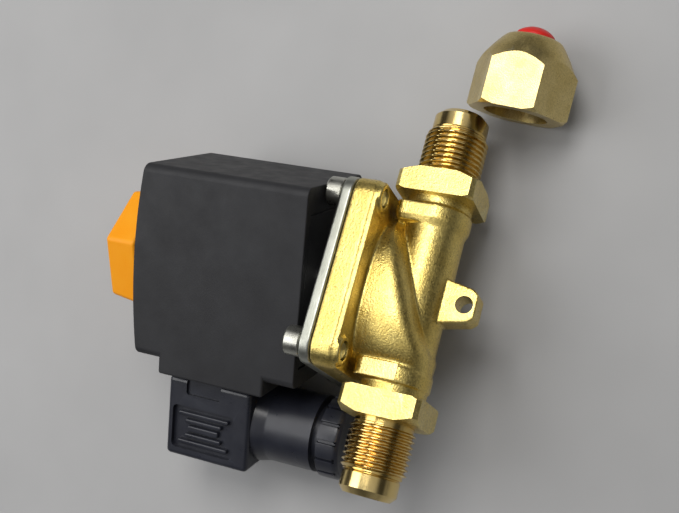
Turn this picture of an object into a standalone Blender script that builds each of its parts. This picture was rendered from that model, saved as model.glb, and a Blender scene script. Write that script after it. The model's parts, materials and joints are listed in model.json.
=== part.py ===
"""Servo-operated solenoid valve with flare ports, lying on a bench beside its loose flare nut.

Every piece is modelled in the valve's own frame: X along the pipe, Z along the coil axis with the
coil cap on top, Y across. One parent empty then lays the valve down on its side.
"""
import math

import bmesh
import bpy
import numpy as np
from mathutils import Matrix

MM = 0.001
GAP = 0.3 * MM

# ---- driving dimensions -----------------------------------------------------------------------
# Pipe run and its two flare ports (3/4-16 UNF)
PIPE_R = 9.4 * MM
BORE_R = 5.6 * MM
THREAD_R = 9.525 * MM
NOSE_R = 8.34 * MM
TIP_R = 6.8 * MM
COLLAR_IN = 29.2 * MM
COLLAR_OUT = 36.7 * MM
COLLAR_HALF = 11.75 * MM
THREAD_START = 38.0 * MM
THREAD_END = 51.5 * MM
NOSE_END = 56.4 * MM
TIP_END = 58.0 * MM
NECK_R = 9.7 * MM
FLATS_IN = 20.5 * MM
FLATS_OUT = 26.3 * MM
FLATS_HALF = 10.3 * MM

# Diaphragm chamber and flange
CHAMBER_HALF_Y = 15.2 * MM
CHAMBER_OUTLET_X = 22.3 * MM
CHAMBER_INLET_X = 24.5 * MM
CHAMBER_TOP = 13.0 * MM
CHAMBER_EDGE_Z = 1.25 * MM
CHAMBER_EDGE_LOW = -5.6 * MM
CHAMBER_RISE = 0.40
CHAMBER_KEEL = 4.3 * MM
CHAMBER_SQUARENESS = 8.0
FLANGE_HALF_X = 27.8 * MM
FLANGE_HALF_Y = 23.5 * MM
FLANGE_CORNER = 6.0 * MM
FLANGE_LOW = 11.5 * MM
FLANGE_TOP = 19.0 * MM
COVER_TOP = 22.6 * MM
SCREW_X = 22.4 * MM
SCREW_Y = 19.0 * MM
SCREW_R = 2.5 * MM
SCREW_HEAD_R = 4.25 * MM
SCREW_HEAD_H = 4.9 * MM
BOSS_LOW = 10.6 * MM
BOSS_R = 4.0 * MM
SCREW_TIP = 9.6 * MM
WELL_R = 12.0 * MM
WELL_FLOOR = 6.6 * MM
RIM_R = 20.5 * MM
RIM_DEPTH = 1.6 * MM
SEAT_TOP = 12.0 * MM
SEAT_R = 7.6 * MM
LUG_HALF_THICK = 4.2 * MM
LUG_HOLE_R = 2.6 * MM
LUG_HOLE_Z = -15.0 * MM

# Armature tube, armature and springs
TUBE_R = 6.8 * MM
TUBE_BORE_R = 6.05 * MM
TUBE_TOP = 82.0 * MM
ARMATURE_R = 5.8 * MM
ARMATURE_LOW = 17.7 * MM
ARMATURE_TOP = 45.5 * MM
ARMATURE_STROKE = 2.5 * MM
CORE_LOW = 48.3 * MM
STUD_R = 4.0 * MM
STUD_TOP = 90.2 * MM

# Coil: its box runs from COIL_X0 to COIL_X1 beside the swivel axis
COIL_X0 = -28.5 * MM
COIL_X1 = 30.8 * MM
COIL_HALF_Y = 20.3 * MM
COIL_LOW = 28.0 * MM
COIL_EDGE_TOP = 81.4 * MM
COIL_CROWN = 83.8 * MM
COIL_BORE_R = 7.3 * MM
COIL_SWIVEL = math.radians(-28.4)

# Plug connector (28 mm square pattern) and its cable gland
BASE_X = -33.0 * MM
BASE_LOW = 37.8 * MM
BASE_TOP = 73.4 * MM
PLUG_X0 = -61.3 * MM
PLUG_X1 = -35.1 * MM
PLUG_HALF_Y = 14.1 * MM
PLUG_LOW = 44.2 * MM
PLUG_TOP = 73.0 * MM
TIE_Z = 58.6 * MM
BLADE_SIZE = (16.0 * MM, 0.8 * MM, 6.0 * MM)
BLADE_X = -38.0 * MM
BLADE_CENTRES = ((0.0, 53.0 * MM), (0.0, 64.2 * MM), (7.0 * MM, 58.6 * MM))
GLAND_X = -48.1 * MM
GLAND_R = 11.9 * MM
NECK_END = 25.1 * MM
SPOUT_R = 9.6 * MM
SPOUT_BORE_R = 8.6 * MM
SPOUT_END = 19.2 * MM
GLAND_NUT_R = 12.6 * MM
GLAND_NUT_TOP = 24.2 * MM
GLAND_NUT_LOW = 15.6 * MM
CABLE_HOLE_R = 4.0 * MM

# Coil cap
CAP_LOW = 84.4 * MM
CAP_TOP = 95.6 * MM
CAP_ACROSS = 36.0 * MM
CAP_TURN = math.radians(17.0)

# Loose flare nut and its dust plug
NUT_ACROSS = 27.0 * MM
NUT_HEX_LEN = 13.2 * MM
NUT_LENGTH = 23.2 * MM
NUT_YAW = math.radians(-4.5)

# How the valve lies: dip of the port beside the nut, place of the pipe's centre, place of the nut
LIE_DIP = math.radians(14.17)
LIE_AT = (-11.640 * MM, -31.835 * MM, 28.30 * MM)
NUT_AT = (47.460 * MM, -47.335 * MM)

ROUND = 36
FINE = 48


# ---- scene and helpers ------------------------------------------------------------------------
for old in list(bpy.data.objects):
    bpy.data.objects.remove(old, do_unlink=True)

parts = bpy.data.collections.new("solenoid_valve")
bpy.context.scene.collection.children.link(parts)
cutters = bpy.data.collections.new("cutters")
bpy.context.scene.collection.children.link(cutters)


def material(name, colour, roughness, metallic=0.0):
    """Make a plain Principled material."""
    made = bpy.data.materials.new(name)
    made.use_nodes = True
    shader = made.node_tree.nodes["Principled BSDF"]
    shader.inputs["Base Color"].default_value = (*colour, 1.0)
    shader.inputs["Roughness"].default_value = roughness
    shader.inputs["Metallic"].default_value = metallic
    made.diffuse_color = (*colour, 1.0)
    return made


def empty(name, parent=None, matrix=None):
    """Make a frame that pieces hang from."""
    made = bpy.data.objects.new(name, None)
    parts.objects.link(made)
    made.parent = parent
    if matrix is not None:
        made.matrix_local = matrix
    return made


def add(name, mesh, parent, stuff=None, matrix=None, collection=None):
    """Link a mesh as a named piece under a frame."""
    made = bpy.data.objects.new(name, mesh)
    (collection or parts).objects.link(made)
    made.parent = parent
    if matrix is not None:
        made.matrix_local = matrix
    if stuff is not None:
        mesh.materials.append(stuff)
    return made


def cutter(name, mesh, parent, matrix=None):
    """Link a mesh as a hidden cutting shape."""
    made = add(name, mesh, parent, None, matrix, cutters)
    made.hide_render = True
    made.display_type = "WIRE"
    return made


def along_x(at=0.0):
    """Frame whose Z runs along +X, starting at x = at."""
    return Matrix.Translation((at, 0, 0)) @ Matrix.Rotation(math.pi / 2, 4, "Y")


def along_y(at=(0, 0, 0)):
    """Frame whose Z runs along +Y."""
    return Matrix.Translation(at) @ Matrix.Rotation(-math.pi / 2, 4, "X")


def shift(x=0.0, y=0.0, z=0.0):
    """Frame moved without turning."""
    return Matrix.Translation((x, y, z))


def smooth(mesh, angle=35.0):
    """Shade round faces smooth and keep edges sharper than the angle."""
    mesh.shade_smooth()
    mesh.set_sharp_from_angle(angle=math.radians(angle))


def turned(profile, steps=ROUND, ring=False):
    """Turn a profile of (radius, height) points about Z and return the mesh.

    The profile runs down the outside from top to bottom. A ring closes on its first point."""
    line = bpy.data.meshes.new("profile")
    points = [(radius, 0.0, height) for radius, height in profile]
    edges = [(i, i + 1) for i in range(len(points) - 1)]
    if ring:
        edges.append((len(points) - 1, 0))
    line.from_pydata(points, edges, [])
    carrier = bpy.data.objects.new("profile", line)
    cutters.objects.link(carrier)
    screw = carrier.modifiers.new("turn", "SCREW")
    screw.steps = steps
    screw.render_steps = steps
    screw.use_merge_vertices = True
    screw.merge_threshold = 0.00001
    mesh = baked(carrier)
    smooth(mesh)
    return mesh


def baked(carrier):
    """Return the evaluated mesh of a helper object and remove the object."""
    graph = bpy.context.evaluated_depsgraph_get()
    mesh = bpy.data.meshes.new_from_object(carrier.evaluated_get(graph), depsgraph=graph)
    bpy.data.objects.remove(carrier, do_unlink=True)
    work = bmesh.new()
    work.from_mesh(mesh)
    bmesh.ops.remove_doubles(work, verts=work.verts, dist=0.000005)
    bmesh.ops.recalc_face_normals(work, faces=work.faces)
    work.to_mesh(mesh)
    work.free()
    return mesh


def block(low, high, bevel=0.0, segments=2):
    """Box between two corners, with its edges rounded."""
    work = bmesh.new()
    size = [b - a for a, b in zip(low, high)]
    centre = [(a + b) / 2 for a, b in zip(low, high)]
    place = Matrix.Translation(centre) @ Matrix.Diagonal((*size, 1.0))
    bmesh.ops.create_cube(work, size=1.0, matrix=place)
    if bevel:
        bmesh.ops.bevel(work, geom=work.edges[:], offset=bevel, segments=segments,
                        profile=0.5, affect="EDGES")
    mesh = bpy.data.meshes.new("block")
    work.to_mesh(mesh)
    work.free()
    return mesh


def prism(outline, z0, z1, bevel=0.0, segments=2):
    """Straight prism over a 2-D outline, with the rim edges rounded."""
    work = bmesh.new()
    lower = [work.verts.new((x, y, z0)) for x, y in outline]
    floor = work.faces.new(lower)
    grown = bmesh.ops.extrude_face_region(work, geom=[floor])["geom"]
    raised = [item for item in grown if isinstance(item, bmesh.types.BMVert)]
    bmesh.ops.translate(work, verts=raised, vec=(0, 0, z1 - z0))
    bmesh.ops.recalc_face_normals(work, faces=work.faces)
    if bevel:
        rims = [edge for edge in work.edges if abs(edge.verts[0].co.z - edge.verts[1].co.z) < 1e-7]
        bmesh.ops.bevel(work, geom=rims, offset=bevel, segments=segments, profile=0.5,
                        affect="EDGES")
    mesh = bpy.data.meshes.new("prism")
    work.to_mesh(mesh)
    work.free()
    return mesh


def rounded_rectangle(half_x, half_y, radius, steps=6, centre=(0.0, 0.0)):
    """Outline of a rectangle with round corners, counter-clockwise."""
    outline = []
    for quarter, (sx, sy) in enumerate(((1, 1), (-1, 1), (-1, -1), (1, -1))):
        for angle in np.linspace(quarter * math.pi / 2, (quarter + 1) * math.pi / 2, steps + 1):
            x = centre[0] + sx * (half_x - radius) + radius * math.cos(angle)
            y = centre[1] + sy * (half_y - radius) + radius * math.sin(angle)
            outline.append((x, y))
    return outline


def polygon(sides, across, turn=0.0):
    """Outline of a regular polygon, given its size across the flats."""
    radius = across / 2 / math.cos(math.pi / sides)
    angles = [turn + math.pi / sides + 2 * math.pi * i / sides for i in range(sides)]
    return [(radius * math.cos(a), radius * math.sin(a)) for a in angles]


def disc(radius, z0, z1, steps=ROUND):
    """Plain cylinder about Z."""
    return turned([(0, z1), (radius, z1), (radius, z0), (0, z0)], steps)


def tube(outer, inner, z0, z1, steps=ROUND):
    """Plain sleeve about Z."""
    return turned([(outer, z1), (outer, z0), (inner, z0), (inner, z1)], steps, ring=True)


def torus(ring_r, cord_r, z, steps=32, sides=8):
    """O-ring about Z."""
    angles = [-2 * math.pi * i / sides for i in range(sides)]
    section = [(ring_r + cord_r * math.cos(a), z + cord_r * math.sin(a)) for a in angles]
    return turned(section, steps, ring=True)


def combine(target, other, operation):
    """Apply one exact Boolean between a piece and a helper shape, then drop the helper."""
    step = target.modifiers.new(operation.lower(), "BOOLEAN")
    step.operation = operation
    step.solver = "EXACT"
    step.object = other
    bpy.context.view_layer.update()
    graph = bpy.context.evaluated_depsgraph_get()
    mesh = bpy.data.meshes.new_from_object(target.evaluated_get(graph), depsgraph=graph)
    work = bmesh.new()
    work.from_mesh(mesh)
    bmesh.ops.remove_doubles(work, verts=work.verts, dist=0.000001)
    work.to_mesh(mesh)
    work.free()
    target.modifiers.clear()
    stuff = list(target.data.materials)
    target.data = mesh
    target.data.materials.clear()
    for item in stuff:
        target.data.materials.append(item)
    bpy.data.objects.remove(other, do_unlink=True)


def join(target, mesh, matrix=None):
    """Fuse a shape onto a piece."""
    combine(target, cutter("add", mesh, target.parent, matrix), "UNION")


def cut(target, mesh, matrix=None):
    """Cut a shape out of a piece."""
    combine(target, cutter("cut", mesh, target.parent, matrix), "DIFFERENCE")


def keep(target, mesh, matrix=None):
    """Keep only what lies inside a shape."""
    combine(target, cutter("keep", mesh, target.parent, matrix), "INTERSECT")


def together(meshes_and_places):
    """Put several separate shapes into one mesh."""
    work = bmesh.new()
    for mesh, place in meshes_and_places:
        placed = mesh.copy()
        placed.transform(place)
        work.from_mesh(placed)
    mesh = bpy.data.meshes.new("group")
    work.to_mesh(mesh)
    work.free()
    return mesh


def helix(radius, wire_r, z0, z1, turns, per_turn=14, sides=6):
    """Compression spring about Z as one closed mesh."""
    curve = bpy.data.curves.new("helix", "CURVE")
    curve.dimensions = "3D"
    curve.bevel_depth = wire_r
    curve.bevel_resolution = (sides - 4) // 2
    curve.use_fill_caps = True
    line = curve.splines.new("POLY")
    count = int(turns * per_turn) + 1
    line.points.add(count - 1)
    for i, point in enumerate(line.points):
        part = i / (count - 1)
        angle = 2 * math.pi * turns * part
        height = z0 + wire_r + (z1 - z0 - 2 * wire_r) * part
        point.co = (radius * math.cos(angle), radius * math.sin(angle), height, 1.0)
    carrier = bpy.data.objects.new("helix", curve)
    cutters.objects.link(carrier)
    bpy.context.view_layer.update()
    mesh = baked(carrier)
    smooth(mesh, 60.0)
    return mesh


def chamber_hull(stations=20, around=12):
    """Bowl under the diaphragm: upright wall and a shallow keel that rises towards the outlet."""
    work = bmesh.new()
    rings = []
    for turn in np.linspace(0, math.pi, stations + 1):
        if turn < math.pi / 2:
            x = CHAMBER_OUTLET_X * math.cos(turn)
            half_y = CHAMBER_HALF_Y * math.sin(turn)
        else:
            x = CHAMBER_INLET_X * math.cos(turn)
            half_y = CHAMBER_HALF_Y * math.sqrt(max(1 - abs(math.cos(turn)) ** 3, 0))
        wall = CHAMBER_TOP - max(CHAMBER_EDGE_Z + CHAMBER_RISE * x, CHAMBER_EDGE_LOW)
        ring = []
        for angle in np.linspace(0, math.pi, around + 1):
            across = math.copysign(abs(math.cos(angle)) ** (2 / CHAMBER_SQUARENESS), math.cos(angle))
            down = abs(math.sin(angle)) ** (2 / CHAMBER_SQUARENESS)
            z = CHAMBER_TOP - wall * down - CHAMBER_KEEL * (1 - across ** 2)
            ring.append(work.verts.new((x, half_y * across, z)))
        rings.append(ring)
    for one, two in zip(rings, rings[1:]):
        for i in range(around):
            work.faces.new((one[i], one[i + 1], two[i + 1], two[i]))
        work.faces.new((one[-1], one[0], two[0], two[-1]))
    bmesh.ops.remove_doubles(work, verts=work.verts, dist=0.00001)
    bmesh.ops.recalc_face_normals(work, faces=work.faces)
    mesh = bpy.data.meshes.new("chamber")
    work.to_mesh(mesh)
    work.free()
    return mesh


def blade(y, z, margin=0.0):
    """One flat terminal blade, or its slot when a margin is given."""
    low = [centre - size / 2 - margin for centre, size in zip((BLADE_X, y, z), BLADE_SIZE)]
    high = [centre + size / 2 + margin for centre, size in zip((BLADE_X, y, z), BLADE_SIZE)]
    return block(low, high)


# ---- materials --------------------------------------------------------------------------------
brass = material("forged_brass", (0.62, 0.45, 0.16), 0.34, 1.0)
insert_brass = material("turned_brass", (0.66, 0.50, 0.20), 0.28, 1.0)
cover_steel = material("plated_steel", (0.48, 0.49, 0.46), 0.38, 1.0)
screw_steel = material("screw_steel", (0.42, 0.43, 0.40), 0.35, 1.0)
stainless = material("stainless_steel", (0.62, 0.62, 0.60), 0.25, 1.0)
yoke_steel = material("zinc_plated_yoke", (0.55, 0.56, 0.55), 0.42, 1.0)
copper = material("copper", (0.72, 0.36, 0.20), 0.30, 1.0)
tinned = material("tinned_brass", (0.72, 0.71, 0.66), 0.30, 1.0)
coil_black = material("coil_moulding", (0.045, 0.045, 0.050), 0.52)
plug_black = material("plug_moulding", (0.035, 0.036, 0.045), 0.42)
bobbin_white = material("bobbin_nylon", (0.78, 0.77, 0.70), 0.45)
rubber = material("black_rubber", (0.020, 0.020, 0.022), 0.70)
ptfe = material("valve_seal", (0.82, 0.81, 0.77), 0.50)
cap_orange = material("cap_orange", (0.90, 0.33, 0.035), 0.42)
plug_red = material("dust_plug_red", (0.66, 0.045, 0.025), 0.45)

# ---- frames -----------------------------------------------------------------------------------
lay_down = (Matrix.Translation(LIE_AT) @ Matrix.Rotation(LIE_DIP, 4, "Y")
            @ Matrix.Rotation(-math.pi / 2, 4, "X"))
nut_lies = (Matrix.Translation((*NUT_AT, NUT_ACROSS / 2)) @ Matrix.Rotation(NUT_YAW, 4, "Z")
            @ along_x())
valve = empty("valve_frame", None, lay_down)
coil = empty("coil_swivel_axis", valve, Matrix.Rotation(COIL_SWIVEL, 4, "Z"))
nut_axis = empty("flare_nut_axis", None, nut_lies)

# ---- valve body: forging, ports, chamber, flange and lug --------------------------------------
port_profile = [
    (0, TIP_END), (TIP_R, TIP_END), (NOSE_R, NOSE_END), (NOSE_R, THREAD_END + 0.4 * MM),
    (THREAD_R, THREAD_END - 0.8 * MM), (THREAD_R, THREAD_START), (THREAD_R - 0.9 * MM, COLLAR_OUT),
    (THREAD_R - 0.9 * MM, COLLAR_IN), (NECK_R, COLLAR_IN), (NECK_R, FLATS_OUT), (PIPE_R, FLATS_IN),
]
half_run = port_profile + [(radius, -height) for radius, height in reversed(port_profile)]
body = add("valve_body", turned(half_run, FINE), valve, brass, along_x())

collar = prism(rounded_rectangle(COLLAR_HALF, COLLAR_HALF, 1.6 * MM, 3), COLLAR_IN, COLLAR_OUT)
collar_turned = turned([
    (0, COLLAR_OUT), (12.6 * MM, COLLAR_OUT), (15.4 * MM, COLLAR_OUT - 1.6 * MM),
    (15.4 * MM, COLLAR_IN + 1.2 * MM), (13.4 * MM, COLLAR_IN), (0, COLLAR_IN)], FINE)
flats = prism(rounded_rectangle(FLATS_HALF, FLATS_HALF, 3.6 * MM, 4), FLATS_IN, FLATS_OUT, 0.8 * MM)
for side in (1, -1):
    mirrored = Matrix.Diagonal((1, 1, side, 1))
    piece = add("collar", collar.copy(), valve, brass, along_x())
    piece.data.transform(mirrored)
    ring_shape = collar_turned.copy()
    ring_shape.transform(mirrored)
    waist = flats.copy()
    waist.transform(mirrored)
    if side < 0:
        piece.data.flip_normals()
        ring_shape.flip_normals()
        waist.flip_normals()
    keep(piece, ring_shape, along_x())
    join(body, piece.data.copy(), along_x())
    bpy.data.objects.remove(piece, do_unlink=True)
    join(body, waist, along_x())

join(body, chamber_hull())

for x in (SCREW_X, -SCREW_X):
    for y in (SCREW_Y, -SCREW_Y):
        join(body, disc(BOSS_R, BOSS_LOW, FLANGE_LOW + MM, 24), shift(x, y))
flange_outline = rounded_rectangle(FLANGE_HALF_X, FLANGE_HALF_Y, FLANGE_CORNER)
join(body, prism(flange_outline, FLANGE_LOW, FLANGE_TOP, 0.6 * MM))

lug_outline = [(-7.6 * MM, -4.0 * MM), (-4.9 * MM, -17.0 * MM), (-3.4 * MM, -18.6 * MM),
               (3.4 * MM, -18.6 * MM), (4.9 * MM, -17.0 * MM), (7.6 * MM, -4.0 * MM)]
lug_frame = Matrix.Rotation(math.pi / 2, 4, "X")
join(body, prism(lug_outline, -LUG_HALF_THICK, LUG_HALF_THICK, 0.6 * MM), lug_frame)

cut(body, disc(LUG_HOLE_R, -10 * MM, 10 * MM, 24), along_y((0, 0, LUG_HOLE_Z)))
cut(body, disc(RIM_R, FLANGE_TOP - RIM_DEPTH, FLANGE_TOP + MM, FINE))
cut(body, disc(17.4 * MM, SEAT_TOP + 1.5 * MM, FLANGE_TOP, FINE))
well = add("well", tube(WELL_R, SEAT_R, WELL_FLOOR, SEAT_TOP + 2 * MM), valve, brass)
join(well, disc(WELL_R, SEAT_TOP, SEAT_TOP + 2 * MM))
cut(body, well.data.copy())
bpy.data.objects.remove(well, do_unlink=True)
cut(body, disc(BORE_R, 0, SEAT_TOP + MM))
cut(body, disc(BORE_R, 0, 70 * MM), along_x(-3.0 * MM))
cut(body, disc(BORE_R, -70 * MM, -7.4 * MM), along_x())
cut(body, block((-11.6 * MM, -3 * MM, 0), (-8.2 * MM, 3 * MM, 8 * MM)))
for x in (SCREW_X, -SCREW_X):
    for y in (SCREW_Y, -SCREW_Y):
        cut(body, disc(SCREW_R + GAP, 5 * MM, 30 * MM, 24), shift(x, y))
smooth(body.data)

# ---- cover plate and its four screws ----------------------------------------------------------
cover = add("cover_plate", prism(flange_outline, FLANGE_TOP + GAP, COVER_TOP, 0.5 * MM),
            valve, cover_steel)
cut(cover, disc(6.4 * MM, 0, 40 * MM))
cut(cover, disc(9.6 * MM, 15 * MM, 21.3 * MM))
for x in (SCREW_X, -SCREW_X):
    for y in (SCREW_Y, -SCREW_Y):
        cut(cover, disc(SCREW_R + GAP, 5 * MM, 30 * MM, 24), shift(x, y))
smooth(cover.data)

head_low = COVER_TOP + 0.1 * MM
head_top = head_low + SCREW_HEAD_H
socket_low = head_top - 2.6 * MM
screw = add("screw_blank", turned([
    (0, head_top), (SCREW_HEAD_R - 0.5 * MM, head_top), (SCREW_HEAD_R, head_top - 0.5 * MM),
    (SCREW_HEAD_R, head_low), (SCREW_R, head_low), (SCREW_R, SCREW_TIP), (0, SCREW_TIP)], 24),
    valve, screw_steel)
cut(screw, prism(polygon(6, 4.0 * MM), socket_low, head_top + MM))
screw_places = [(x, y) for x in (SCREW_X, -SCREW_X) for y in (SCREW_Y, -SCREW_Y)]
for number, (x, y) in enumerate(screw_places, start=1):
    add(f"cover_screw_{number}", screw.data, valve, None, shift(x, y))
bpy.data.objects.remove(screw, do_unlink=True)

# ---- diaphragm, its insert and spring ---------------------------------------------------------
add("diaphragm", turned([
    (20.2 * MM, 18.7 * MM), (20.2 * MM, 17.7 * MM), (17.0 * MM, 17.7 * MM), (14.0 * MM, 14.4 * MM),
    (8.4 * MM, 14.4 * MM), (8.4 * MM, 15.4 * MM), (13.4 * MM, 15.4 * MM), (16.4 * MM, 18.7 * MM)],
    FINE, ring=True), valve, rubber)
add("diaphragm_insert", turned([
    (1.6 * MM, 17.3 * MM), (2.4 * MM, 16.6 * MM), (8.0 * MM, 16.6 * MM), (8.0 * MM, 12.3 * MM),
    (0.8 * MM, 12.3 * MM), (0.8 * MM, 17.3 * MM)], ROUND, ring=True), valve, insert_brass)
add("diaphragm_spring", helix(7.2 * MM, 0.35 * MM, 16.9 * MM, 21.1 * MM, 3.5), valve, stainless)

# ---- armature tube with its inner parts -------------------------------------------------------
add("armature_tube", turned([
    (TUBE_R, TUBE_TOP), (TUBE_R, 25.6 * MM), (10.2 * MM, 25.6 * MM),
    (10.2 * MM, COVER_TOP + 0.1 * MM), (TUBE_BORE_R, COVER_TOP + 0.1 * MM),
    (TUBE_BORE_R, TUBE_TOP)], ROUND, ring=True), valve, stainless)
armature = add("armature", turned([
    (0, ARMATURE_TOP), (5.3 * MM, ARMATURE_TOP), (ARMATURE_R, ARMATURE_TOP - 0.5 * MM),
    (ARMATURE_R, 22.0 * MM), (4.2 * MM, 19.5 * MM), (4.2 * MM, ARMATURE_LOW), (0, ARMATURE_LOW)],
    32), valve, stainless)
cut(armature, disc(3.2 * MM, 33.5 * MM, 50 * MM, 24))
cut(armature, disc(2.9 * MM, 10 * MM, 19.2 * MM, 24))
smooth(armature.data)
add("pilot_seal", disc(2.6 * MM, ARMATURE_LOW - 0.1 * MM, 18.9 * MM, 24), valve, ptfe)
add("armature_spring", helix(2.5 * MM, 0.3 * MM, 33.8 * MM, CORE_LOW - 0.1 * MM, 7, 12, 4),
    valve, stainless)
core = add("fixed_core", turned([
    (0, STUD_TOP), (STUD_R - 0.5 * MM, STUD_TOP), (STUD_R, STUD_TOP - 0.5 * MM),
    (STUD_R, 83.4 * MM), (TUBE_R, 83.4 * MM), (TUBE_R, TUBE_TOP + 0.1 * MM),
    (ARMATURE_R, TUBE_TOP + 0.1 * MM), (ARMATURE_R, CORE_LOW), (0, CORE_LOW)], 32), valve,
    stainless)
cut(core, tube(5.0 * MM, 3.6 * MM, 40 * MM, CORE_LOW + 1.6 * MM, 32))
smooth(core.data)
add("shading_ring", tube(4.8 * MM, 3.8 * MM, CORE_LOW + 0.1 * MM, CORE_LOW + 1.4 * MM, 32), valve,
    copper)
add("tube_seal", torus(8.6 * MM, 0.55 * MM, 26.5 * MM), valve, rubber)

# ---- coil: moulded housing, base, yoke, bobbin and winding ------------------------------------
crown_drop = COIL_CROWN - COIL_EDGE_TOP
crown = [(x, COIL_CROWN - crown_drop * (x / COIL_X1) ** 2)
         for x in np.linspace(COIL_X1, COIL_X0, 11)]
side_view = [(COIL_X0, COIL_LOW), (COIL_X1, COIL_LOW)] + crown
stand_up = Matrix.Rotation(math.pi / 2, 4, "X")
housing = add("coil_housing", prism(side_view, -COIL_HALF_Y, COIL_HALF_Y), coil, coil_black, stand_up)
keep(housing, prism(rounded_rectangle((COIL_X1 - COIL_X0) / 2, COIL_HALF_Y, 2.6 * MM, 5,
                                      ((COIL_X0 + COIL_X1) / 2, 0.0)), 20 * MM, 90 * MM))
join(housing, block((BASE_X, -COIL_HALF_Y, BASE_LOW), (COIL_X0 + 4 * MM, 17 * MM, BASE_TOP),
                    0.8 * MM))
cut(housing, block((-23 * MM, -17.5 * MM, 20 * MM), (23 * MM, 17.5 * MM, 76.6 * MM)))
cut(housing, disc(COIL_BORE_R, 60 * MM, 100 * MM))

for y, z in BLADE_CENTRES:
    cut(housing, blade(y, z, GAP))
tie_frame = shift(z=TIE_Z) @ along_x()
cut(housing, disc(1.9 * MM, -40 * MM, -29.5 * MM, 20), tie_frame)
for name, (y, z) in zip(("line_blade", "neutral_blade", "earth_blade"), BLADE_CENTRES):
    add(name, blade(y, z), coil, tinned)

base_plate = add("coil_base", block((-22.7 * MM, -17.2 * MM, COIL_LOW + 0.2 * MM),
                                    (22.7 * MM, 17.2 * MM, 30.4 * MM), 0.3 * MM, 1), coil, coil_black)
cut(base_plate, disc(COIL_BORE_R, 0, 60 * MM))
yoke = add("yoke_frame", block((-22.4 * MM, -13 * MM, 30.8 * MM), (22.4 * MM, 13 * MM, 76.2 * MM)),
           coil, yoke_steel)
cut(yoke, block((-19.9 * MM, -20 * MM, 33.3 * MM), (19.9 * MM, 20 * MM, 73.7 * MM)))
cut(yoke, disc(COIL_BORE_R, 0, 100 * MM))
add("bobbin", turned([
    (16.8 * MM, 73.3 * MM), (16.8 * MM, 71.6 * MM), (8.6 * MM, 71.6 * MM), (8.6 * MM, 35.4 * MM),
    (16.8 * MM, 35.4 * MM), (16.8 * MM, 33.7 * MM), (COIL_BORE_R, 33.7 * MM),
    (COIL_BORE_R, 73.3 * MM)], ROUND, ring=True), coil, bobbin_white)
add("winding", tube(15.8 * MM, 8.9 * MM, 35.7 * MM, 71.3 * MM), coil, copper)

# ---- coil cap and the seal that turns with it -------------------------------------------------
add("cap_seal", torus(9.4 * MM, 0.7 * MM, 84.85 * MM), valve, rubber)
cap = add("coil_cap", prism(polygon(6, CAP_ACROSS), CAP_LOW, CAP_TOP), valve, cap_orange,
          Matrix.Rotation(COIL_SWIVEL + CAP_TURN, 4, "Z"))
top_scale = 0.92
for vert in cap.data.vertices:
    if vert.co.z > (CAP_LOW + CAP_TOP) / 2:
        vert.co.x *= top_scale
        vert.co.y *= top_scale
rounder = cap.modifiers.new("edges", "BEVEL")
rounder.width = 1.0 * MM
rounder.segments = 2
rounder.limit_method = "ANGLE"
rounder.angle_limit = math.radians(25)
cut(cap, disc(12.0 * MM, 80 * MM, 85.8 * MM))
cut(cap, disc(STUD_R + GAP, 80 * MM, 94 * MM, 32))

# ---- plug connector ---------------------------------------------------------------------------
gasket = add("connector_gasket", block((-34.8 * MM, -13.6 * MM, 44.8 * MM),
                                       (-33.3 * MM, 13.6 * MM, 72.4 * MM)), coil, rubber)
cut(gasket, block((-36 * MM, -10 * MM, 48.6 * MM), (-32 * MM, 10 * MM, 68.6 * MM)))

plug = add("connector_housing", block((PLUG_X0, -PLUG_HALF_Y, PLUG_LOW),
                                      (PLUG_X1, PLUG_HALF_Y, PLUG_TOP), 1.8 * MM, 3), coil, plug_black)
shoulder = turned([(0, PLUG_LOW + 3 * MM), (12.9 * MM, PLUG_LOW + 3 * MM), (12.9 * MM, PLUG_LOW - 0.4 * MM),
                   (GLAND_R, 39.8 * MM), (GLAND_R, NECK_END), (SPOUT_R, NECK_END),
                   (SPOUT_R, SPOUT_END), (0, SPOUT_END)])
join(plug, shoulder, shift(x=GLAND_X))
cut(plug, block((-57.5 * MM, -11.6 * MM, 47 * MM), (-30 * MM, 11.6 * MM, 70.2 * MM)))
cut(plug, disc(SPOUT_BORE_R, 0, 50 * MM), shift(x=GLAND_X))
cut(plug, disc(1.9 * MM, -70 * MM, -50 * MM, 20), tie_frame)
cut(plug, disc(3.4 * MM, -70 * MM, -59.5 * MM, 24), tie_frame)
smooth(plug.data)

insert = add("terminal_block", block((-50.5 * MM, -11.3 * MM, 47.3 * MM),
                                     (-36.0 * MM, 11.3 * MM, 69.9 * MM), 0.4 * MM, 1), coil, plug_black)
for y, z in BLADE_CENTRES:
    cut(insert, blade(y, z, GAP))
cut(insert, disc(1.9 * MM, -70 * MM, -30 * MM, 20), tie_frame)
tie = add("connector_screw", turned([
    (0, -31.0 * MM), (1.5 * MM, -31.0 * MM), (1.5 * MM, -59.8 * MM), (3.0 * MM, -59.8 * MM),
    (3.0 * MM, -61.6 * MM), (0, -61.6 * MM)], 20), coil, screw_steel, tie_frame)
cut(tie, block((-0.35 * MM, -4 * MM, -62 * MM), (0.35 * MM, 4 * MM, -60.9 * MM)), tie_frame)

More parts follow.
